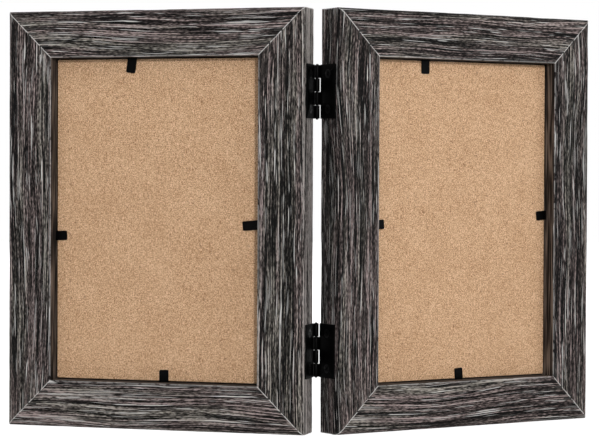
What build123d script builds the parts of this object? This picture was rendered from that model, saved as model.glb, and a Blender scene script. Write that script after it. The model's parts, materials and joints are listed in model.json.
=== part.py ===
from build123d import *
from math import cos, radians, sin
import os

# Hinged double photo frame: two leaves of mitred, rebated moulding on two butt hinges, open like a book.
# Millimetres, +Z up. The backs face -Y, the pictures face +Y, the hinge pins stand on X = 0, and the origin
# is on the table in the middle of the ground that the frame covers.

# Print and what lies with it in the rebate
print_width = 101.6
print_height = 152.4
print_thickness = 0.3
print_clearance = 1.2  # rebate wall to the edge of the print
glass_thickness = 2.0
glass_clearance = 0.6
glass_arris = 0.3
board_thickness = 2.5
board_clearance = 0.7
board_arris = 0.4

# Moulding
moulding_width = 22.5  # outer side to rebate wall, on the back
moulding_depth = 16.5
lip_width = 5.5  # how far the lip reaches in front of the glass
lip_thickness = 4.5
back_rounding = 3.0
front_rounding = 0.8
sight_rounding = 1.0

# V-nails, driven into the back across each mitre
nails_per_corner = 2
nail_from_rebate = 6.0
nail_spacing = 6.0
nail_leg = 4.4
nail_thickness = 0.7
nail_height = 9.0
nail_sink = 0.4  # below the back face
nail_clearance = 0.05

# Bendable tabs that hold the board
tab_width = 4.5
tab_thickness = 0.5
tab_corner = 0.7
tab_root_length = 7.0
tab_point = 2.0  # length of the pointed end in the wood
tab_bend_gap = 0.75  # rebate wall to the bend line
tab_bend_play = 0.02
tab_board_gap = 0.1
tab_clearance = 0.05

# Butt hinges
hinge_height = 25.4
hinge_from_end = 39.0  # middle of a hinge to the end of the leaf
hinge_leaf_width = 14.5  # pin axis to the free edge of the plate
hinge_thickness = 0.6
hinge_corner = 0.5
hinge_pin_ahead = 1.3  # pin axis in front of the picture side
knuckles = 4
knuckle_gap = 0.2
knuckle_relief = 0.7  # from a knuckle to the notch in the other plate
knuckle_seam = 0.15  # where the rolled end stops short of the plate
pin_diameter = 1.2
pin_clearance = 0.04
pin_head = 0.35  # how far the ends stand out

# Countersunk hinge screws, two in each plate
screw_diameter = 2.2
screw_head_diameter = 4.4
screw_length = 10.0
screw_from_end = 4.4  # screw axis to the end of the plate
screw_clearance = 0.05
recess_length = 2.4
recess_width = 0.55
recess_depth = 0.7

# How far each leaf is turned back from a flat spread
half_fold = 24.0

# Tabs as they were set by hand: offsets from the middle of a side (to +X or +Z), reaches past the bend
tab_offsets = {
    "left": {"top": -12.9, "bottom": 3.5, "outer": -8.0, "spine": -1.8},
    "right": {"top": -21.3, "bottom": -0.6, "outer": 2.3, "spine": -2.0},
}
tab_reaches = {
    "left": {"top": 6.6, "bottom": 5.2, "outer": 5.0, "spine": 8.6},
    "right": {"top": 6.2, "bottom": 5.0, "outer": 5.0, "spine": 6.4},
}
tab_skew_angles = {
    "left": {"top": 8.0, "bottom": 0.0, "outer": -2.0, "spine": -5.0},
    "right": {"top": 0.0, "bottom": -4.0, "outer": -5.0, "spine": -5.0},
}

# Sizes that follow
opening_width = print_width + 2 * print_clearance
opening_height = print_height + 2 * print_clearance
leaf_width = opening_width + 2 * moulding_width
leaf_height = opening_height + 2 * moulding_width
glass_front = moulding_depth - lip_thickness
glass_back = glass_front - glass_thickness
print_back = glass_back - print_thickness
board_back = print_back - board_thickness
tab_middle = board_back - tab_board_gap - tab_thickness / 2
pin_radius = pin_diameter / 2
bore_radius = pin_radius + pin_clearance
barrel_radius = bore_radius + hinge_thickness
knuckle_pitch = hinge_height / knuckles
knuckle_height = knuckle_pitch - knuckle_gap
notch_edge = barrel_radius + knuckle_relief
side_gap = barrel_radius  # pin axis to the spine side of a leaf
screw_row = (notch_edge + hinge_leaf_width) / 2
screw_heights = (hinge_height / 2 - screw_from_end, screw_from_end - hinge_height / 2)
hinge_middles = {"upper": leaf_height / 2 - hinge_from_end, "lower": hinge_from_end - leaf_height / 2}

# Knuckles of each plate, counted from the top: both hinges are one pattern, the lower one turned end for end
right_knuckles = {"upper": range(0, knuckles, 2), "lower": range(1, knuckles, 2)}
left_knuckles = {"upper": range(1, knuckles, 2), "lower": range(0, knuckles, 2)}

# The spread's depth, from the outer front arrises to the spine's back arrises, puts the pin axis in Y
fold_sine = sin(radians(half_fold))
fold_cosine = cos(radians(half_fold))
spread_front = (
    (side_gap + leaf_width - front_rounding) * fold_sine
    - (hinge_pin_ahead + front_rounding) * fold_cosine
    + front_rounding
)
spread_back = (
    (side_gap + back_rounding) * fold_sine
    - (hinge_pin_ahead + moulding_depth - back_rounding) * fold_cosine
    - back_rounding
)
pin_y = -(spread_front + spread_back) / 2

# Each leaf is drawn flat: X across and Z up from its middle, Y from the back face to the picture side.
# A side is drawn as the bottom one and turned about Y into its place.
turns = {"bottom": 0, "low_x": 90, "top": 180, "high_x": 270}
half_openings = {"bottom": opening_height / 2, "top": opening_height / 2, "low_x": opening_width / 2,
                 "high_x": opening_width / 2}
outward = {"left": -1, "right": 1}


def side_of(leaf, name):
    # Where a leaf's top, bottom, outer or spine side lies in its flat drawing
    if name in turns:
        return name
    return "high_x" if (name == "outer") == (leaf == "right") else "low_x"


def leaf_place(leaf):
    out = outward[leaf]
    hinged = Pos(0, pin_y, leaf_height / 2) * Rot(0, 0, out * half_fold)
    return hinged * Pos(out * (side_gap + leaf_width / 2), -hinge_pin_ahead - moulding_depth, 0)


def slab(outline, near, far):
    # An outline in the leaf's plan, from one depth below the back face to another
    return extrude(Plane.XZ.offset(-near) * outline, amount=far - near, dir=(0, 1, 0))


def moulding_section():
    # X from the outer side to the sight edge, Y from the back face to the picture side
    sight = moulding_width + lip_width
    outline = Polyline(
        (0, 0), (moulding_width, 0), (moulding_width, glass_front), (sight, glass_front),
        (sight, moulding_depth), (0, moulding_depth), close=True,
    )
    section = make_face(outline)
    roundings = {
        (0, 0, 0): back_rounding,
        (0, moulding_depth, 0): front_rounding,
        (sight, moulding_depth, 0): sight_rounding,
    }
    for corner, rounding in roundings.items():
        section = fillet(section.vertices().sort_by_distance(corner)[0], rounding)
    return section


def moulding_length(length, half_span):
    # A bottom length of moulding, cut to a mitre at both ends
    end = Plane(origin=(length / 2, 0, -half_span), x_dir=(0, 0, 1), z_dir=(-1, 0, 0))
    bar = extrude(end * moulding_section(), amount=length)
    for way in (1, -1):
        mitre = Plane(origin=(way * length / 2, 0, -half_span), x_dir=(0, 1, 0), z_dir=(-way, 0, -1))
        bar = split(bar, bisect_by=mitre, keep=Keep.TOP)
    return bar


def nail_outline(x_way, z_way, inset, grow):
    # An L whose apex lies on the mitre, with a leg along each of the two lengths of moulding
    align = (Align.MIN if x_way < 0 else Align.MAX, Align.MIN if z_way < 0 else Align.MAX)
    across = Rectangle(nail_leg + 2 * grow, nail_thickness + 2 * grow, align=align)
    upright = Rectangle(nail_thickness + 2 * grow, nail_leg + 2 * grow, align=align)
    apex = Pos(x_way * (leaf_width / 2 - inset + grow), z_way * (leaf_height / 2 - inset + grow))
    return apex * (across + upright)


def v_nails(near, far, grow):
    insets = [moulding_width - nail_from_rebate - i * nail_spacing for i in range(nails_per_corner)]
    corners = [(x_way, z_way) for x_way in (-1, 1) for z_way in (-1, 1)]
    return [slab(nail_outline(*corner, inset, grow), near, far) for corner in corners for inset in insets]


def tab_place(leaf, name):
    # From a tab's own frame, with the bend line along X and the blade along +Z, to the flat leaf
    side = side_of(leaf, name)
    offset = tab_offsets[leaf][name]
    along = offset if side in ("bottom", "high_x") else -offset
    bend = Pos(along, tab_middle, tab_bend_gap - half_openings[side])
    return Rot(0, turns[side], 0) * bend * Rot(0, tab_skew_angles[leaf][name], 0)


def tab_blade(reach):
    strip = Pos(0, 0, reach / 2) * Box(tab_width, tab_thickness, reach)
    tip = strip.edges().filter_by(Axis.Y).group_by(Axis.Z)[-1]
    bend = Rot(0, 90, 0) * Cylinder(tab_thickness / 2, tab_width)
    return fillet(tip, tab_corner) + bend


def tab_root(grow, open_end):
    # The driven half: square at the bend, pointed in the wood
    half = tab_width / 2 + grow
    shoulder = tab_point - tab_bend_gap - tab_root_length
    outline = Polyline(
        (-half, open_end), (half, open_end), (half, shoulder), (0, shoulder - tab_point - grow),
        (-half, shoulder), close=True,
    )
    return slab(make_face(outline), -tab_thickness / 2 - grow, tab_thickness / 2 + grow)


def hinge_place(leaf, hinge):
    # From a hinge's own frame, with the pin axis on Z, to the flat leaf
    across = -outward[leaf] * (side_gap + leaf_width / 2)
    return Pos(across, moulding_depth + hinge_pin_ahead, hinge_middles[hinge])


def hinge_leaf(out, own_knuckles):
    # A plate on the spine side and, at its own knuckles, a neck that rolls round the pin
    plate_middle = out * (barrel_radius - hinge_thickness / 2)
    plate = Pos(plate_middle, -(notch_edge + hinge_leaf_width) / 2, 0) * Box(
        hinge_thickness, hinge_leaf_width - notch_edge, hinge_height
    )
    plate = fillet(plate.edges().filter_by(Axis.X).group_by(Axis.Y)[0], hinge_corner)
    eye = Cylinder(barrel_radius, knuckle_height) - Cylinder(bore_radius, knuckle_height)
    seam_middle = out * (barrel_radius - hinge_thickness - knuckle_seam / 2)
    eye -= Pos(seam_middle, -barrel_radius / 2, 0) * Box(knuckle_seam, barrel_radius, knuckle_height)
    eye += Pos(plate_middle, -notch_edge / 2, 0) * Box(hinge_thickness, notch_edge, knuckle_height)
    for number in own_knuckles:
        plate += Pos(0, 0, hinge_height / 2 - (number + 0.5) * knuckle_pitch) * eye
    return plate - at_screws(out, screw_hole())


def turned(*profile):
    # Points in radius and height, from the middle of the top, turned about Z
    return revolve(make_face(Plane.XZ * Polyline((0, 0), *profile, close=True)), axis=Axis.Z)


def hinge_screw():
    # The head's top is the plane z = 0, and its countersink is as deep as the plate is thick
    neck = screw_diameter / 2
    head = (screw_head_diameter / 2, 0)
    screw = turned(head, (neck, -hinge_thickness), (neck, -screw_length), (0, -screw_length))
    bar = Box(recess_length, recess_width, 2 * recess_depth)
    return screw - [Rot(0, 0, turn) * bar for turn in (45, 135)]


def screw_hole():
    # Countersunk through the plate, then drilled flat in the wood
    neck = screw_diameter / 2 + screw_clearance
    depth = screw_length + screw_clearance
    head = (screw_head_diameter / 2 + screw_clearance, 0)
    return turned(head, (neck, -hinge_thickness), (neck, -depth), (0, -depth))


def at_screws(out, shape):
    face = out * (barrel_radius - hinge_thickness)
    return [Pos(face, -screw_row, height) * Rot(0, -90 * out, 0) * shape for height in screw_heights]


def hinge_pin():
    return Cylinder(pin_radius, hinge_height + 2 * pin_head)


def pane(clearance, near, far, arris):
    # A sheet that lies in the rebate with room round it, its corners nipped off
    outline = Rectangle(opening_width - 2 * clearance, opening_height - 2 * clearance)
    return chamfer(slab(outline, near, far).edges().filter_by(Axis.Y), arris)


def frame_leaf(leaf):
    # The nodes of one leaf, drawn flat
    nodes = {}
    sides = ("top", "bottom", "outer", "spine")
    tabs = {name: tab_place(leaf, name) for name in sides}
    hinges = [hinge_place(leaf, hinge) for hinge in hinge_middles]
    out = outward[leaf]

    root_end = -tab_thickness / 2 - tab_bend_play
    cuts = v_nails(-nail_sink, nail_sink + nail_height + nail_clearance, nail_clearance)
    cuts += [tabs[name] * tab_root(tab_clearance, tab_bend_gap) for name in sides]
    cuts += [place * hole for place in hinges for hole in at_screws(out, screw_hole())]
    for name in sides:
        upright = name in ("outer", "spine")
        length, half_span = (leaf_height, leaf_width / 2) if upright else (leaf_width, leaf_height / 2)
        bar = Rot(0, turns[side_of(leaf, name)], 0) * moulding_length(length, half_span)
        nodes[name + ("_stile" if upright else "_rail")] = bar - cuts

    nodes["glass"] = pane(glass_clearance, glass_back, glass_front, glass_arris)
    nodes["paper_insert"] = slab(Rectangle(print_width, print_height), print_back, glass_back)
    nodes["backing_board"] = pane(board_clearance, board_back, print_back, board_arris)
    nodes["v_nails"] = Compound(children=v_nails(nail_sink, nail_sink + nail_height, 0))
    nodes["tab_roots"] = Compound(children=[tabs[name] * tab_root(0, root_end) for name in sides])
    for name in sides:
        nodes[name + "_tab"] = tabs[name] * tab_blade(tab_reaches[leaf][name])

    own = left_knuckles if leaf == "left" else right_knuckles
    for hinge, place in zip(hinge_middles, hinges):
        nodes[hinge + "_hinge_leaf"] = place * hinge_leaf(out, own[hinge])
    screws = [place * screw for place in hinges for screw in at_screws(out, hinge_screw())]
    nodes["hinge_screws"] = Compound(children=screws)
    return nodes


os.makedirs("parts", exist_ok=True)
for leaf in outward:
    for node, solid in frame_leaf(leaf).items():
        export_step(leaf_place(leaf) * solid, f"parts/{leaf}_{node}.step")
for hinge, middle in hinge_middles.items():
    export_step(Pos(0, pin_y, leaf_height / 2 + middle) * hinge_pin(), f"parts/{hinge}_hinge_pin.step")

# Places that the joints and the resting faces need
print(f"pin axis: x 0, y {pin_y:.4f}")
for leaf in outward:
    foot = leaf_place(leaf) * Pos(0, (back_rounding + moulding_depth - front_rounding) / 2, -leaf_height / 2)
    print(f"{leaf} foot:", [round(v, 4) for v in foot.position])
    for name in tab_offsets[leaf]:
        bend = leaf_place(leaf) * tab_place(leaf, name)
        axis = Plane(bend).x_dir
        print(f"{leaf} {name} bend:", [round(v, 4) for v in bend.position], [round(v, 6) for v in axis])
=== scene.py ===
import json
import math

import bpy
import numpy as np
from mathutils import Matrix, Vector


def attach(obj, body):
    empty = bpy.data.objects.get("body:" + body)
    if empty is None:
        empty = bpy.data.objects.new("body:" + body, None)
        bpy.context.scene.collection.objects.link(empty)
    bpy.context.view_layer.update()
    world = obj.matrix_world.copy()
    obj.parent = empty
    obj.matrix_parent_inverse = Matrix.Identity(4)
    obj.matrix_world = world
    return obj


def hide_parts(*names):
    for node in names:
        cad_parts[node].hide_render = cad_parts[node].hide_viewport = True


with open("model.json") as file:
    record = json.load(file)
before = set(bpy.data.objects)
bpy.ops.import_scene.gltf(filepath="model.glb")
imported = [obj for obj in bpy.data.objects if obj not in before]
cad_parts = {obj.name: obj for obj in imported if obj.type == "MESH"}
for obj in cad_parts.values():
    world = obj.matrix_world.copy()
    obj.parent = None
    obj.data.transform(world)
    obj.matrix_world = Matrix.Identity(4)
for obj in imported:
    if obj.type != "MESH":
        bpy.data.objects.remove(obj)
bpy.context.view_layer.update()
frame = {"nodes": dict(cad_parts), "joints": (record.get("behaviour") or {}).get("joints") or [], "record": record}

nodes = frame["nodes"]
mm = 0.001
leaves = {"left": -1, "right": 1}  # which way each leaf lies from the pins
sides = ("top", "bottom", "outer", "spine")
railNodes = {"top": "top_rail", "bottom": "bottom_rail", "outer": "outer_stile", "spine": "spine_stile"}
print("frame loaded,", len(nodes), "nodes")


class Value:
    # a shader socket that takes part in plain expressions
    def __init__(self, graph, socket):
        self.graph = graph
        self.socket = socket

    def maths(self, operation, first, second):
        return self.graph.node("ShaderNodeMath", {"operation": operation}, {0: first, 1: second})

    def other(self, name):
        return Value(self.graph, self.socket.node.outputs[name])

    def __add__(self, other):
        return self.maths("ADD", self, other)

    def __sub__(self, other):
        return self.maths("SUBTRACT", self, other)

    def __rsub__(self, other):
        return self.maths("SUBTRACT", other, self)

    def __mul__(self, other):
        return self.maths("MULTIPLY", self, other)

    def __truediv__(self, other):
        return self.maths("DIVIDE", self, other)

    def __rtruediv__(self, other):
        return self.maths("DIVIDE", other, self)

    __radd__ = __add__
    __rmul__ = __mul__


class Graph:
    # the node tree of a material or of the world
    def __init__(self, owner, endKind):
        owner.use_nodes = True
        self.owner = owner
        self.tree = owner.node_tree
        self.tree.nodes.clear()
        self.end = self.tree.nodes.new(endKind)

    def node(self, kind, settings, inputs, out=0):
        made = self.tree.nodes.new(kind)
        for name, setting in settings.items():
            if name == "stops":
                self.setStops(made.color_ramp, setting)
            else:
                setattr(made, name, setting)
        for name, given in inputs.items():
            if isinstance(given, Value):
                self.tree.links.new(given.socket, made.inputs[name])
            else:
                made.inputs[name].default_value = given
        return Value(self, made.outputs[out])

    def setStops(self, ramp, stops):
        while len(ramp.elements) < len(stops):
            ramp.elements.new(1)
        for element, (position, shade) in zip(ramp.elements, stops):
            element.position = position
            element.color = (*shade, 1)

    def attribute(self, name, out="Fac"):
        return self.node("ShaderNodeAttribute", {"attribute_name": name}, {}, out)

    def objectPlace(self):
        return self.node("ShaderNodeTexCoord", {}, {}, "Object")

    def noise(self, vector, detail=2.0, roughness=0.5, scale=1.0):
        inputs = {"Vector": vector, "Scale": scale, "Detail": detail, "Roughness": roughness}
        return self.node("ShaderNodeTexNoise", {}, inputs)

    def vector(self, x, y, z):
        return self.node("ShaderNodeCombineXYZ", {}, {0: x, 1: y, 2: z})

    def rise(self, value, low, high):
        # 0 below low, 1 above high, smooth between
        inputs = {0: value, 1: low, 2: high, 3: 0.0, 4: 1.0}
        return self.node("ShaderNodeMapRange", {"interpolation_type": "SMOOTHSTEP"}, inputs)

    def blend(self, factor, first, second, kind="MIX"):
        settings = {"data_type": "RGBA", "blend_type": kind}
        return self.node("ShaderNodeMix", settings, {0: factor, 6: first, 7: second}, 2)

    def ramp(self, value, stops):
        return self.node("ShaderNodeValToRGB", {"stops": stops}, {0: value})

    def bump(self, height, strength, distance):
        return self.node("ShaderNodeBump", {}, {"Strength": strength, "Distance": distance, "Height": height})

    def surface(self, inputs):
        return self.finish(self.node("ShaderNodeBsdfPrincipled", {}, inputs))

    def finish(self, shader):
        self.tree.links.new(shader.socket, self.end.inputs["Surface"])
        return self.owner


def newMaterial(name):
    return Graph(bpy.data.materials.new(name), "ShaderNodeOutputMaterial")


def colour(red, green, blue):
    # 0 to 255 as seen on a screen, to the linear values that shaders take
    parts = [channel / 255 for channel in (red, green, blue)]
    return tuple(p / 12.92 if p <= 0.04045 else ((p + 0.055) / 1.055) ** 2.4 for p in parts)


# Where the leaves stand, from the hinge joint

foldJoint = next(joint for joint in frame["joints"] if joint["name"] == "fold")
pinPlace = Vector(foldJoint["pos_m"])
halfFold = math.radians(-foldJoint["range_deg"][0]) / 2


def leafTurn(leaf):
    # from a leaf drawn flat, with the pin axis on Z, to where it stands
    pin = Matrix.Translation((pinPlace.x, pinPlace.y, 0))
    return pin @ Matrix.Rotation(leaves[leaf] * halfFold, 4, "Z")


def flatBox(leaf, names):
    # lowest and highest corner of some nodes in the flat drawing
    back = np.array(leafTurn(leaf).inverted())
    places = np.array([v.co for name in names for v in nodes[name].data.vertices])
    flat = places @ back[:3, :3].T + back[:3, 3]
    return Vector(flat.min(0)), Vector(flat.max(0))


# Moulding: eight mitred lengths with brushed grain

moulding = {
    "rebateWall": 22.5,  # mm, outer side to rebate wall
    "lipThickness": 4.5,
    "backRounding": 3.0,
    "frontRounding": 0.8,
    "sightRounding": 1.0,
    "arris": 0.35,  # worn edge of the rebate
    "arcSteps": {"back": 10, "arris": 3, "sight": 5, "front": 6},
    "fineStep": 0.36,  # round the section where the grain shows
    "frontStep": 0.504,
    "coarseStep": 0.9,
    "sightStep": 0.45,
    "alongStep": 1.3,
    "endSteps": (0.0, 0.12, 0.3, 0.7, 1.2, 1.8, 2.5, 3.3, 4.2, 4.5, 5.4, 6.4),  # mm from the mitre
    "mitreGap": 0.04,
    "grooveDepth": 0.26,
    "fibreDepth": 0.1,
    "swellDepth": 0.12,
    "nailInsets": (10.5, 16.5),  # mm, outer side to a nail's slot
    "nailSlot": (0.8, 4.4, 0.62),  # width, length from the mitre, depth
    "slotSide": 0.04,  # how far a slot's sides lean out
    "mitreWear": 0.22,  # mm that the rubbed edge reaches from a mitre
    "arrisWear": (0.35, 0.55),  # strength and reach of the rubbing along the rebate
    "spineLightAndShade": {"left": 0.36, "right": -0.26},  # painted light and shade: the left spine side lighter, the right one darker, for how the light from the right falls on them
    "tones": {"left": 0.0, "right": -0.06, "top": -0.01, "bottom": 0.03, "outer": -0.07, "spine": -0.05},
    "seed": 41,
    "seedStep": 20,  # between one length and the next
    "shiftCycle": 97,  # the shader's pattern moves on with the seed
    "shiftStep": 1.37,
}

brushing = {
    "drift": ((42, 8, 1.1), (13, 2.6, 0.35)),  # mm along, mm across, mm that the grain wanders
    "band": (70, 3.4),
    "groove": (15, 1.0),
    "grooveRise": (0.15, 0.75),
    "grooveLeast": 0.35,  # share of a groove's depth outside the bands
    "fibre": (7, 0.62),
}


def lattice(x, y, seed):
    # smooth noise on a unit lattice, from -1 to 1
    size = 256
    table = np.random.default_rng(seed).uniform(-1, 1, (size, size))
    column, row = np.floor(x).astype(int), np.floor(y).astype(int)
    fx, fy = x - column, y - row
    fx, fy = fx * fx * (3 - 2 * fx), fy * fy * (3 - 2 * fy)
    left, right = column % size, (column + 1) % size
    near, far = row % size, (row + 1) % size
    nearRow = table[left, near] * (1 - fx) + table[right, near] * fx
    farRow = table[left, far] * (1 - fx) + table[right, far] * fx
    return nearRow * (1 - fy) + farRow * fy


def smooth(value, low, high):
    t = np.clip((value - low) / (high - low), 0, 1)
    return t * t * (3 - 2 * t)


def run(start, end, step):
    count = max(1, math.ceil(math.dist(start, end) / step))
    return [tuple(a + (b - a) * k / count for a, b in zip(start, end)) for k in range(count)]


def arc(middle, radius, degrees, count):
    turns = [math.radians(degrees + 90 * k / count) for k in range(count)]
    return [(middle[0] + radius * math.cos(t), middle[1] + radius * math.sin(t)) for t in turns]


def slotEdges(m):
    # places across the back where a nail's slot begins and ends
    width, side = m["nailSlot"][0], m["slotSide"]
    offsets = (-side, 0, width, width + side)
    return [inset + offset for inset in m["nailInsets"] for offset in offsets]


def mouldingOutline(m, depth, sight):
    # across and deep round the section, and whether the stretch is painted black inside the rebate
    wall, lip = m["rebateWall"], depth - m["lipThickness"]
    back, front, edge, arris = m["backRounding"], m["frontRounding"], m["sightRounding"], m["arris"]
    fine, coarse, steps = m["fineStep"], m["coarseStep"], m["arcSteps"]
    backPoints = run((back, 0), (wall - arris, 0), fine) + [(place, 0) for place in slotEdges(m)]
    stretches = [
        (run((0, depth - front), (0, back), fine), False),
        (arc((back, back), back, 180, steps["back"]), False),
        (sorted(backPoints), False),
        (arc((wall - arris, arris), arris, 270, steps["arris"]), False),
        (run((wall, arris), (wall, lip), coarse), True),
        (run((wall, lip), (sight, lip), coarse), True),
        (run((sight, lip), (sight, depth - edge), m["sightStep"]), False),
        (arc((sight - edge, depth - edge), edge, 0, steps["sight"]), False),
        (run((sight - edge, depth), (front, depth), m["frontStep"]), False),
        (arc((front, depth - front), front, 90, steps["front"]), False),
    ]
    points = np.array([p for stretch, _ in stretches for p in stretch])
    black = np.array([isBlack for stretch, isBlack in stretches for _ in stretch])
    return points, black


def outlineNormals(points):
    tangent = np.roll(points, -1, 0) - np.roll(points, 1, 0)
    tangent /= np.linalg.norm(tangent, axis=1, keepdims=True)
    return np.stack([tangent[:, 1], -tangent[:, 0]], 1)


def grain(along, across, seed):
    # how deep the brushed grooves, fibres and swells go, each from 0 to 1
    b = brushing
    line = across
    for number, (long, wide, amount) in enumerate(b["drift"]):
        line = line + amount * lattice(along / long, across / wide, seed + number)

    def spread(kind, offset):
        long, wide = b[kind]
        return lattice(along / long, line / wide, seed + offset)

    least = b["grooveLeast"]
    swell = 0.5 + 0.5 * spread("band", 2)
    groove = smooth(spread("groove", 3), *b["grooveRise"]) * (least + (1 - least) * swell)
    fibre = 0.5 + 0.5 * spread("fibre", 4)
    return groove, fibre, swell


def railMesh(name, m, length, depth, sight, tones, seed):
    # a length of moulding in its own frame: x along, y from the outer side inwards, z from the back inwards
    points, black = mouldingOutline(m, depth, sight)
    normals = outlineNormals(points)
    steps = np.linalg.norm(np.roll(points, -1, 0) - points, axis=1)
    girth = np.concatenate([[0], np.cumsum(steps)[:-1]])
    ends = np.array(m["endSteps"]) + m["mitreGap"]
    middleCount = math.ceil((length - 2 * ends[-1]) / m["alongStep"])
    share = np.linspace(-1, 1, middleCount + 1)[1:-1]
    half = (length / 2 - points[:, 0])[:, None]
    flatAlong = np.concatenate([-(half - ends), share * (half - ends[-1]), (half - ends)[:, ::-1]], axis=1)
    shape = flatAlong.shape

    # Grooves and nail slots sink the surface along its normal
    around = np.broadcast_to(girth[:, None], shape)
    groove, fibre, swell = grain(flatAlong, around, seed)
    cover = np.where(black, 0.0, 1.0)[:, None]
    sink = cover * (m["grooveDepth"] * groove + m["fibreDepth"] * fibre + m["swellDepth"] * swell)
    fromMitre = half - np.abs(flatAlong)
    slotWidth, slotLength, slotDepth = m["nailSlot"]
    tiny = m["slotSide"] / 4
    onBack = (points[:, 1] == 0)[:, None]
    slot = np.zeros(shape, bool)
    for inset in m["nailInsets"]:
        inWidth = (points[:, :1] > inset - tiny) & (points[:, :1] < inset + slotWidth + tiny)
        slot |= onBack & inWidth & (fromMitre < slotLength)
    sink = np.where(slot, slotDepth, sink)
    across = points[:, :1] - normals[:, :1] * sink
    deep = points[:, 1:] - normals[:, 1:] * sink

    # Near its ends a sunk point stays as far from the mitre as it was
    toEnd = np.where(np.abs(flatAlong) > 0, np.sign(flatAlong), 1)
    atEnd = fromMitre <= ends[-1] + 1e-6
    along = np.where(atEnd, toEnd * (length / 2 - across - fromMitre), flatAlong)

    count, rowCount = shape
    places = np.stack([along, across, deep], 2).reshape(-1, 3) * mm
    index = np.arange(count * rowCount).reshape(count, rowCount)
    follow = np.roll(index, -1, 0)
    quads = np.stack([index[:, :-1], follow[:, :-1], follow[:, 1:], index[:, 1:]], 2).reshape(-1, 4)
    caps = [index[::-1, 0].tolist(), index[:, -1].tolist()]
    mesh = bpy.data.meshes.new(name)
    mesh.from_pydata(places.tolist(), [], quads.tolist() + caps)
    mesh.polygons.foreach_set("use_smooth", np.ones(len(mesh.polygons), bool))
    finish = np.concatenate([np.repeat(black, rowCount - 1), [False, False]]).astype(np.int32)
    mesh.polygons.foreach_set("material_index", finish)

    isCap = np.zeros(count * rowCount, bool)
    isCap[index[:, 0]] = isCap[index[:, -1]] = True
    pairs = np.empty(len(mesh.edges) * 2, np.int32)
    mesh.edges.foreach_get("vertices", pairs)
    sharp = mesh.attributes.new("sharp_edge", "BOOLEAN", "EDGE")
    sharp.data.foreach_set("value", isCap[pairs.reshape(-1, 2)].all(1))

    # What the shader reads at each point
    shift = np.full(shape, seed % m["shiftCycle"] * m["shiftStep"])
    grainPlace = np.stack([flatAlong, around, shift], 2)
    toArris = np.hypot(points[:, 0] - m["rebateWall"], points[:, 1])
    rubbing, rubbingReach = m["arrisWear"]
    mitreWear = np.exp(-((fromMitre / m["mitreWear"]) ** 2))
    arrisWear = rubbing * np.exp(-((toArris / rubbingReach) ** 2))[:, None]
    beforeFront = points[:, 1] < depth - m["frontRounding"] / 2
    onSide = smooth(points[:, 0], m["backRounding"] / 2, 0.0) * beforeFront
    # on the spine sides the outer face carries painted light and shade: lighter on the left leaf, darker on the
    # right
    tone, sideToneAndShade = tones
    stain = np.broadcast_to((tone + (sideToneAndShade - tone) * onSide)[:, None], shape)
    mesh.attributes.new("grainPlace", "FLOAT_VECTOR", "POINT").data.foreach_set("vector", grainPlace.ravel())
    written = {
        "wear": np.maximum(mitreWear, arrisWear) * cover,
        # in the nail slots the colour is painted darker, as shade in the slot
        "groove": np.where(slot, 1.0, groove),
        "stain": stain,
    }
    for attribute, amounts in written.items():
        mesh.attributes.new(attribute, "FLOAT", "POINT").data.foreach_set("value", amounts.ravel())
    mesh.update()
    return mesh


grainLook = {
    "black": colour(4, 4, 4),
    "dark": colour(34, 31, 30),
    "middle": colour(74, 69, 66),
    "light": colour(116, 110, 106),
    "bright": colour(170, 164, 160),
    "brushed": colour(250, 248, 245),
    "plum": colour(96, 82, 81),
    "moss": colour(85, 82, 76),
    "stops": {"black": 0.02, "dark": 0.25, "middle": 0.48, "light": 0.72, "bright": 0.95},
    "roughness": (0.55, 0.8),
    "gloss": 0.08,
    "bump": (0.5, 0.0002),
}

# Each pattern of the grain: mm along, mm across, offset in the noise, detail
grainPatterns = {
    "drift": (85, 24, 0, 1.0),
    "waver": (18, 5, 7, 2.0),
    "band": (170, 2.8, 13, 0.5),
    "fibre": (40, 0.44, 19, 1.0),
    "breaks": (14, 2.4, 31, 2.0),
    "speck": (2.2, 0.46, 37, 1.0),
    "ribbon": (120, 1.5, 71, 1.0),
    "tint": (90, 6, 43, 2.0),
    "scratches": (30, 0.45, 29, 1.0),
    "openings": (40, 0.42, 23, 1.0),
    "rings": (130, 3.2, 61, 1.0),
    "chips": (3, 3, 53, 2.0),
}

# Where each mask begins and is full
grainMasks = {
    "plain": (0.0, 0.15),
    "tint": (0.44, 0.64),
    "breaks": (0.44, 0.56),
    "brushed": (0.61, 0.66),
    "shaded": (0.59, 0.64),
    "opened": (0.385, 0.42),
    "ring": (0.004, 0.02),
    "chips": (0.36, 0.46),
}

# How much of each goes into the colour
grainShares = {
    "driftReach": 8.0,  # mm that the grain wanders
    "waverReach": 0.7,
    "middle": 0.5,
    "band": 1.1,
    "fibre": (1.2, 2.6),  # everywhere, and more where the surface is broken
    "speck": 1.6,
    "groove": 0.1,
    "plainCoarse": 0.4,  # the pale spine side has more fibre
    "plainRibbon": 1.6,  # and broad ribbons
    "tint": 0.6,
    "plainTint": 0.8,  # what the pale side loses of the tint, the scratches and the open lines
    "plainScratch": 0.6,
    "plainOpened": 0.3,
    "shadeAside": 0.34,  # mm from a scratch to its shadow
    "opened": 0.95,
    "shaded": 0.75,
    "brushed": 0.6,
    "worn": 0.8,
    "fibreHeight": 0.6,
    "speckHeight": 0.25,
    "brushedHeight": 0.3,
    "openedHeight": 0.5,
}


def grainPlaces(graph):
    # mm along the length, mm round the section, and the length's own shift
    place = graph.attribute("grainPlace", "Vector")
    along = graph.node("ShaderNodeSeparateXYZ", {}, {0: place}, "X")
    return along, along.other("Y"), along.other("Z")


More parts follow.
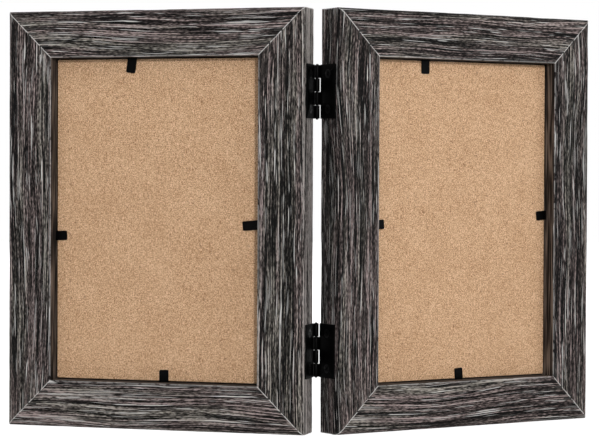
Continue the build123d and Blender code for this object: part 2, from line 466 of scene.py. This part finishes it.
def weatheredGrain():
    g, s = grainLook, grainShares
    graph = newMaterial("weatheredGrain")
    along, across, shift = grainPlaces(graph)
    wear, groove, stain = (graph.attribute(name) for name in ("wear", "groove", "stain"))

    def pattern(name, sideways):
        long, wide, offset, detail = grainPatterns[name]
        return graph.noise(graph.vector(along / long, sideways / wide, shift + offset), detail)

    def mask(name, value):
        return graph.rise(value, *grainMasks[name])

    drift, waver = pattern("drift", across) - 0.5, pattern("waver", across) - 0.5
    line = across + drift * s["driftReach"] + waver * s["waverReach"]
    band, fibre, breaks, speck, ribbon = (
        pattern(name, line) for name in ("band", "fibre", "breaks", "speck", "ribbon"))
    plain = mask("plain", stain)  # the left spine side, pale from its painted light
    everywhere, broken = s["fibre"]
    coarse = (fibre - 0.5) * (everywhere + breaks * broken) + (speck - 0.5) * s["speck"]
    tone = s["middle"] + (band - 0.5) * s["band"] + coarse * (1 + plain * s["plainCoarse"])
    # each length's own tone is added here, with the painted light and shade of the spine sides
    tone = tone - groove * s["groove"] + stain + plain * (ribbon - 0.5) * s["plainRibbon"]
    base = graph.ramp(tone, [(position, g[name]) for name, position in g["stops"].items()])
    tinted = graph.blend(mask("tint", pattern("tint", line)), (*g["plum"], 1), (*g["moss"], 1))
    base = graph.blend(s["tint"] * (1 - plain * s["plainTint"]), base, tinted, "COLOR")

    scratch = mask("breaks", breaks) * (1 - plain * s["plainScratch"])
    brushed = mask("brushed", pattern("scratches", line)) * scratch
    shaded = mask("shaded", pattern("scratches", line + s["shadeAside"])) * scratch
    opened = (1 - mask("opened", pattern("openings", line))) * (1 - plain * s["plainOpened"])
    level = graph.node("ShaderNodeMath", {"operation": "ABSOLUTE"}, {0: pattern("rings", line) - 0.5})
    ring = (1 - mask("ring", level)) * (1 - plain)
    opened = opened.maths("MAXIMUM", opened, ring)
    chips = mask("chips", pattern("chips", across))
    layers = (
        (opened * s["opened"], "black"),
        (shaded * s["shaded"], "black"),
        (brushed * s["brushed"], "brushed"),
        (wear * chips * s["worn"], "brushed"),
    )
    for amount, name in layers:
        base = graph.blend(amount, base, (*g[name], 1))

    low, high = g["roughness"]
    height = fibre * s["fibreHeight"] + speck * s["speckHeight"]
    height = height + brushed * s["brushedHeight"] - opened * s["openedHeight"]
    return graph.surface({
        "Base Color": base,
        "Roughness": low + (high - low) * fibre,
        "Specular IOR Level": g["gloss"],
        "Normal": graph.bump(height, *g["bump"]),
    })


rebateLook = {
    "streak": (22, 0.9, 1.0),  # mm along, mm across, detail
    "shades": [(0.34, colour(8, 7, 6)), (0.5, colour(46, 39, 35)), (0.66, colour(112, 100, 91))],
    "roughness": 0.8,
    "gloss": 0.1,
    "bump": (0.4, 0.0002),
}


def rebateBlack():
    r = rebateLook
    graph = newMaterial("rebateBlack")
    along, across, shift = grainPlaces(graph)
    long, wide, detail = r["streak"]
    streak = graph.noise(graph.vector(along / long, across / wide, shift), detail)
    return graph.surface({
        "Base Color": graph.ramp(streak, r["shades"]),
        "Roughness": r["roughness"],
        "Specular IOR Level": r["gloss"],
        "Normal": graph.bump(streak, *r["bump"]),
    })


def makeMoulding():
    m = moulding
    finishes = [weatheredGrain(), rebateBlack()]
    # a length's own axes, as they lie in the leaf
    basis = Matrix(((-1, 0, 0, 0), (0, 0, 1, 0), (0, 1, 0, 0), (0, 0, 0, 1)))
    for leafNumber, (leaf, out) in enumerate(leaves.items()):
        low, high = flatBox(leaf, [f"{leaf}_{node}" for node in railNodes.values()])
        span = high - low
        middle = Matrix.Translation(((low.x + high.x) / 2, low.y, (low.z + high.z) / 2))
        turns = {"bottom": 0, "top": 180, "outer": -90 * out, "spine": 90 * out}
        for number, side in enumerate(sides):
            node = f"{leaf}_{railNodes[side]}"
            upright = side in ("outer", "spine")
            length, halfSpan = (span.z, span.x / 2) if upright else (span.x, span.z / 2)
            box = flatBox(leaf, [node])
            sight = (box[1].x - box[0].x) if upright else (box[1].z - box[0].z)
            name = f"{leaf}_{side}_moulding"
            seed = m["seed"] + m["seedStep"] * (number + len(sides) * leafNumber)
            tone = m["tones"][leaf] + m["tones"][side]
            # the spine sides get painted light and shade instead of their own tone
            sideToneAndShade = m["spineLightAndShade"][leaf] if side == "spine" else tone
            mesh = railMesh(name, m, length / mm, span.y / mm, sight / mm, (tone, sideToneAndShade), seed)
            piece = bpy.data.objects.new(name, mesh)
            bpy.context.collection.objects.link(piece)
            turn = Matrix.Rotation(math.radians(turns[side]), 4, "Y")
            outwards = Matrix.Translation((0, 0, -halfSpan))
            piece.matrix_world = leafTurn(leaf) @ middle @ turn @ outwards @ basis
            for finish in finishes:
                mesh.materials.append(finish)
            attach(piece, f"{leaf}_leaf")
            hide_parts(node)
    print("moulding made")


# Board, paper and glass. A noise is given as detail, roughness and scale.

boardLook = {
    "tan": colour(203, 164, 127),
    "pale": colour(236, 201, 167),
    "brown": colour(150, 110, 76),
    "fleck": colour(126, 92, 64),
    "stops": {"brown": 0.33, "tan": 0.5, "pale": 0.67},
    "cloud": (3.0, 0.55, 60),
    "cloudShare": 0.1,
    "fibre": (1.0, 0.5, 2300),
    "fibreShare": 0.9,
    "flecks": (1.0, 0.5, 620),
    "fleckRise": (0.68, 0.76),
    "fleckShare": 0.6,
    "roughness": 0.82,
    "gloss": 0.2,
    "bump": (0.35, 0.0002),
}


def fibreboard():
    b = boardLook
    graph = newMaterial("fibreboard")
    place = graph.objectPlace()
    cloud, fibre, flecks = (graph.noise(place, *b[name]) for name in ("cloud", "fibre", "flecks"))
    tone = cloud * b["cloudShare"] + fibre * b["fibreShare"]
    base = graph.ramp(tone, [(position, b[name]) for name, position in b["stops"].items()])
    base = graph.blend(graph.rise(flecks, *b["fleckRise"]) * b["fleckShare"], base, (*b["fleck"], 1))
    return graph.surface({
        "Base Color": base,
        "Roughness": b["roughness"],
        "Specular IOR Level": b["gloss"],
        "Normal": graph.bump(fibre, *b["bump"]),
    })


paperLook = {
    "shades": [(0.35, colour(232, 230, 224)), (0.65, colour(246, 245, 241))],
    "fibre": (4.0, 0.65, 900),
    "roughness": 0.8,
    "bump": (0.15, 0.0001),
    "gap": 0.1,  # mm drawn in, so that paper and glass don't share a face
}


def blankPaper():
    p = paperLook
    graph = newMaterial("blankPaper")
    fibre = graph.noise(graph.objectPlace(), *p["fibre"])
    return graph.surface({
        "Base Color": graph.ramp(fibre, p["shades"]),
        "Roughness": p["roughness"],
        "Normal": graph.bump(fibre, *p["bump"]),
    })


glassLook = {
    "tint": (0.975, 0.99, 0.983),
    "headOn": 0.04,  # share that the glass mirrors when seen straight
    "growth": 5.0,  # how late the mirroring grows towards the edge-on view
    "roughness": 0.03,
}


def clearGlass():
    g = glassLook
    graph = newMaterial("clearGlass")
    clear = graph.node("ShaderNodeBsdfTransparent", {}, {"Color": (*g["tint"], 1)})
    gloss = graph.node("ShaderNodeBsdfGlossy", {}, {"Color": (1, 1, 1, 1), "Roughness": g["roughness"]})
    edgeOn = graph.node("ShaderNodeLayerWeight", {}, {"Blend": 0.5}, "Facing")
    mirrored = g["headOn"] + (1 - g["headOn"]) * edgeOn.maths("POWER", edgeOn, g["growth"])
    return graph.finish(graph.node("ShaderNodeMixShader", {}, {0: mirrored, 1: clear, 2: gloss}))


# Steel pieces

steelLook = {
    "hinge": (colour(2, 2, 2), colour(8, 8, 9), 0.45, 0.04),  # paint, where rubbed, roughness, gloss
    "screw": (colour(9, 9, 9), colour(36, 36, 38), 0.36, 0.2),
    "tab": (colour(2, 2, 2), colour(9, 9, 10), 0.4, 0.04),
    "nail": (colour(40, 38, 36), colour(92, 88, 82), 0.5, 0.3),
}

steelWear = {
    "mottle": (3.0, 0.6, 900),
    "mottleRoughness": 0.3,
    "rub": (4.0, 0.7, 260),
    "rubRise": (0.56, 0.7),
    "rubShare": 0.6,
    "bump": (0.25, 0.00005),
}


def paintedSteel(name):
    w = steelWear
    paint, rubbed, roughness, gloss = steelLook[name]
    graph = newMaterial(name + "Steel")
    place = graph.objectPlace()
    mottle = graph.noise(place, *w["mottle"])
    rub = graph.rise(graph.noise(place, *w["rub"]), *w["rubRise"])
    return graph.surface({
        "Base Color": graph.blend(rub * w["rubShare"], (*paint, 1), (*rubbed, 1)),
        "Specular IOR Level": gloss,
        "Roughness": roughness + (mottle - 0.5) * w["mottleRoughness"],
        "Normal": graph.bump(mottle, *w["bump"]),
    })


# Nodes that show their own solids

edgeRounding = {
    "widths": {  # mm, by the end of a node's name
        "hinge_leaf": 0.12,
        "hinge_pin": 0.1,
        "hinge_screws": 0.06,
        "_tab": 0.1,
        "backing_board": 0.15,
        "glass": 0.15,
    },
    "segments": 2,
    "angle": 40,  # degrees from which an edge is eased
}


def weldSeams(piece):
    weld = piece.modifiers.new("weld", "WELD")
    weld.merge_threshold = 1e-6


def roundEdges(piece, width):
    weldSeams(piece)
    bevel = piece.modifiers.new("edge", "BEVEL")
    bevel.width = width * mm
    bevel.segments = edgeRounding["segments"]
    bevel.limit_method = "ANGLE"
    bevel.angle_limit = math.radians(edgeRounding["angle"])


def drawIn(piece, depth):
    weldSeams(piece)
    inset = piece.modifiers.new("inset", "DISPLACE")
    inset.mid_level = 0.0
    inset.strength = -depth * mm


def dressNodes():
    finishes = {
        "fibreboard": fibreboard(),
        "paper": blankPaper(),
        "glass": clearGlass(),
        "hinge_black": paintedSteel("hinge"),
        "screw_black": paintedSteel("screw"),
        "tab_black": paintedSteel("tab"),
        "nail_steel": paintedSteel("nail"),
    }
    for subpart in frame["record"]["subparts"]:
        finish = finishes.get(subpart["material_slot"])
        for slot in nodes[subpart["node"]].material_slots:
            slot.material = finish or slot.material
    for name, piece in nodes.items():
        for ending, width in edgeRounding["widths"].items():
            if name.endswith(ending):
                roundEdges(piece, width)
        if name.endswith("paper_insert"):
            drawIn(piece, paperLook["gap"])
    print("nodes dressed")


# Floor, light and camera

studio = {
    "floorSize": 6.0,
    "floorColour": (0.86, 0.86, 0.86),
    "floorLift": (0.8, 0.8, 0.8),  # how much of the floor's white is its own near the object
    "floorFade": (0.45, 1.3),  # metres out, where its own white grows to full
    "ambient": 0.12,
    "lamps": {
        "frontLamp": ((0.18, -2.5, 0.8), 0.2, 32.0),  # place, size in metres, watts
        "sideLamp": ((1.5, -1.15, 0.75), 1.2, 8.5),
        "highLamp": ((-0.8, -1.0, 1.7), 1.4, 9.0),
        "rearLamp": ((-0.5, 2.3, 1.1), 1.0, 24.0),
    },
    "aim": (0.0, 0.0, 0.1),
}

view = {
    "place": (-0.14843, -1.05353, 0.1205),
    "yaw": -7.761,
    "pitch": 1.16,  # degrees below level
    "roll": 0.241,
    "lens": 132.53,
    "sensor": 36.0,
}


def seenDirectly(graph):
    # 1 for what the camera, a reflection or a pane of glass shows, 0 for what gives light
    camera = graph.node("ShaderNodeLightPath", {}, {}, "Is Camera Ray")
    shown = camera + camera.other("Is Glossy Ray") + camera.other("Is Transmission Ray")
    return shown.maths("MINIMUM", shown, 1.0)


def makeFloor():
    half = studio["floorSize"] / 2
    corners = [(-half, -half, 0), (half, -half, 0), (half, half, 0), (-half, half, 0)]
    mesh = bpy.data.meshes.new("studioFloor")
    mesh.from_pydata(corners, [], [(0, 1, 2, 3)])
    floor = bpy.data.objects.new("studioFloor", mesh)
    bpy.context.collection.objects.link(floor)
    graph = newMaterial("floorWhite")
    base = graph.node("ShaderNodeBsdfDiffuse", {}, {"Color": (*studio["floorColour"], 1)})
    out = graph.node("ShaderNodeVectorMath", {"operation": "LENGTH"}, {0: graph.objectPlace()}, "Value")
    far = graph.rise(out, *studio["floorFade"])
    white = graph.blend(far, (*studio["floorLift"], 1), (1, 1, 1, 1))
    shown = graph.blend(seenDirectly(graph), (0, 0, 0, 1), white)
    own = graph.node("ShaderNodeEmission", {}, {"Color": shown, "Strength": 1.0})
    mesh.materials.append(graph.finish(graph.node("ShaderNodeAddShader", {}, {0: base, 1: own})))


def makeWorld():
    world = bpy.data.worlds.new("whiteStudio")
    bpy.context.scene.world = world
    graph = Graph(world, "ShaderNodeOutputWorld")
    light = graph.node("ShaderNodeBackground", {}, {"Color": (1, 1, 1, 1), "Strength": studio["ambient"]})
    white = graph.node("ShaderNodeBackground", {}, {"Color": (1, 1, 1, 1), "Strength": 1.0})
    graph.finish(graph.node("ShaderNodeMixShader", {}, {0: seenDirectly(graph), 1: light, 2: white}))


def makeLamps():
    for name, (place, size, watts) in studio["lamps"].items():
        lamp = bpy.data.lights.new(name, "AREA")
        lamp.shape = "SQUARE"
        lamp.size = size
        lamp.energy = watts
        holder = bpy.data.objects.new(name, lamp)
        holder.location = place
        towards = Vector(studio["aim"]) - Vector(place)
        holder.rotation_euler = towards.to_track_quat("-Z", "Y").to_euler()
        bpy.context.collection.objects.link(holder)


def makeCamera():
    camera = bpy.data.objects.new("photoView", bpy.data.cameras.new("photoView"))
    camera.data.sensor_width = view["sensor"]
    camera.data.lens = view["lens"]
    turn = Matrix.Rotation(math.radians(view["yaw"]), 4, "Z")
    tilt = Matrix.Rotation(math.radians(90 - view["pitch"]), 4, "X")
    roll = Matrix.Rotation(math.radians(view["roll"]), 4, "Z")
    camera.matrix_world = Matrix.Translation(view["place"]) @ turn @ tilt @ roll
    bpy.context.collection.objects.link(camera)
    bpy.context.scene.camera = camera


makeMoulding()
dressNodes()
makeFloor()
makeWorld()
makeLamps()
makeCamera()
bpy.context.scene.view_settings.view_transform = "Standard"
print("studio set")
